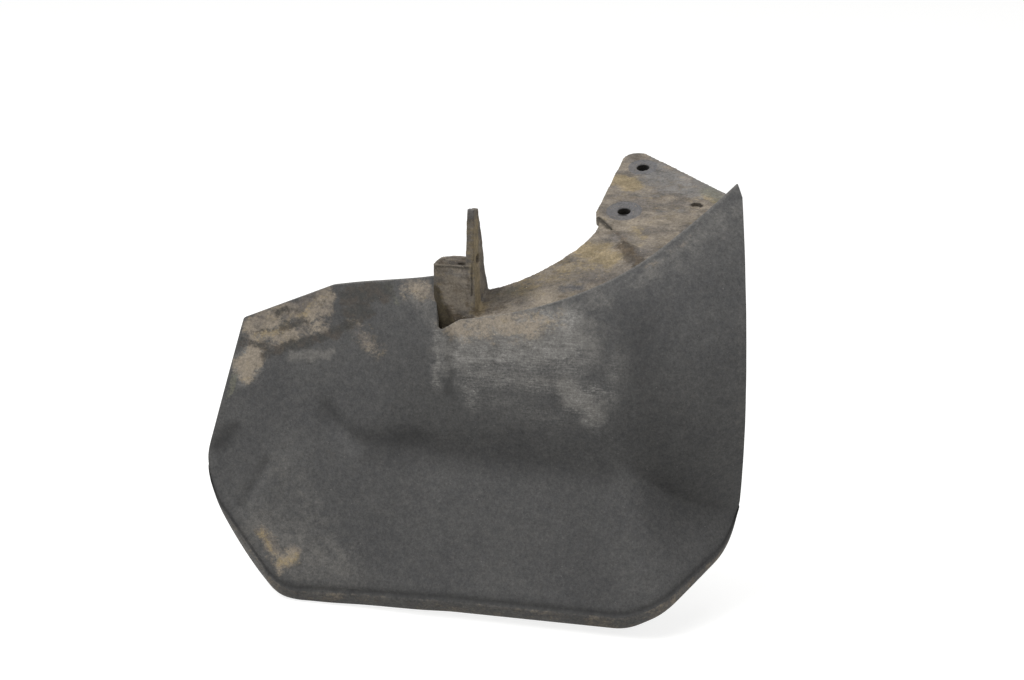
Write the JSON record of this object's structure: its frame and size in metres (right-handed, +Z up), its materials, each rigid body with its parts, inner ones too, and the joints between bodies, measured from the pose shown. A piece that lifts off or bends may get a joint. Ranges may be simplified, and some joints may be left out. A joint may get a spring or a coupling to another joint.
{
  "type": "rear mudguard",
  "caption": "Moulded rear mudguard: a bulged splash panel over a flared flap with a folded rim, an arch shelf, a drilled sloping fixing plate, a boss and an upright drilled fin.",
  "frame": {"origin": "middle of the lower fixing hole, on the upper face of the fixing plate", "axes": "+X across the guard to its outer side, +Y forward, away from the splash panel's rear face, +Z up, as the guard hangs when fitted"},
  "size_m": [0.3234, 0.1779, 0.2516],
  "materials": {
    "moulding": "matt black, dusty and dirty with dried mud"
  },
  "bodies": {
    "root": {"mudguard": "moulding"}
  },
  "joints": []
}
